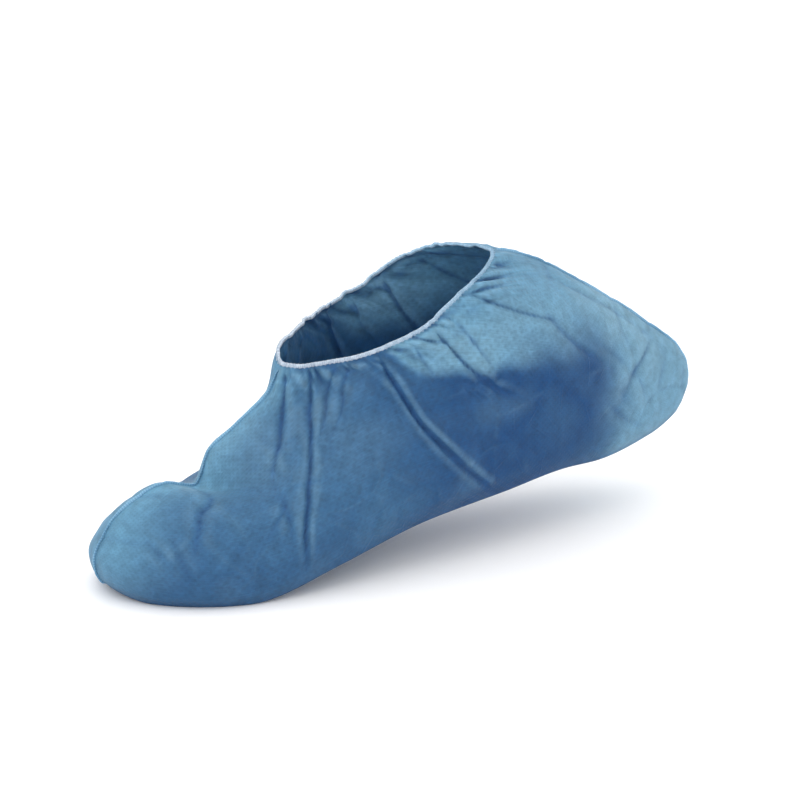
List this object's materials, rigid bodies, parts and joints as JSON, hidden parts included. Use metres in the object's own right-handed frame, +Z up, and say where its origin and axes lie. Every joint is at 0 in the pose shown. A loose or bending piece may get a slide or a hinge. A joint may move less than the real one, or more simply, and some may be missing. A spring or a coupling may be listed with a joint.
{
  "type": "shoe cover",
  "caption": "Disposable nonwoven shoe cover in its worn shape, heel lifted, with a gathered elastic opening, a seam over the instep and toe, and another down the heel.",
  "frame": {"origin": "on the inside of the sole, under the ball of the foot, on the centre line", "axes": "+Z up from the ground, -Y towards the toe, +X towards the inner side of the right foot"},
  "size_m": [0.1058, 0.3296, 0.1404],
  "materials": {
    "nonwoven_fabric": "thin blue spunbond polypropylene, matt, slightly see-through",
    "welded_seam": "the same fabric, doubled and heat-bonded, paler and stiffer",
    "elastic": "covered elastic, off-white, finely ribbed"
  },
  "bodies": {
    "root": {"fabric_body": "nonwoven_fabric", "elastic_band": "elastic", "front_seam": "welded_seam", "heel_seam": "welded_seam"}
  },
  "joints": []
}
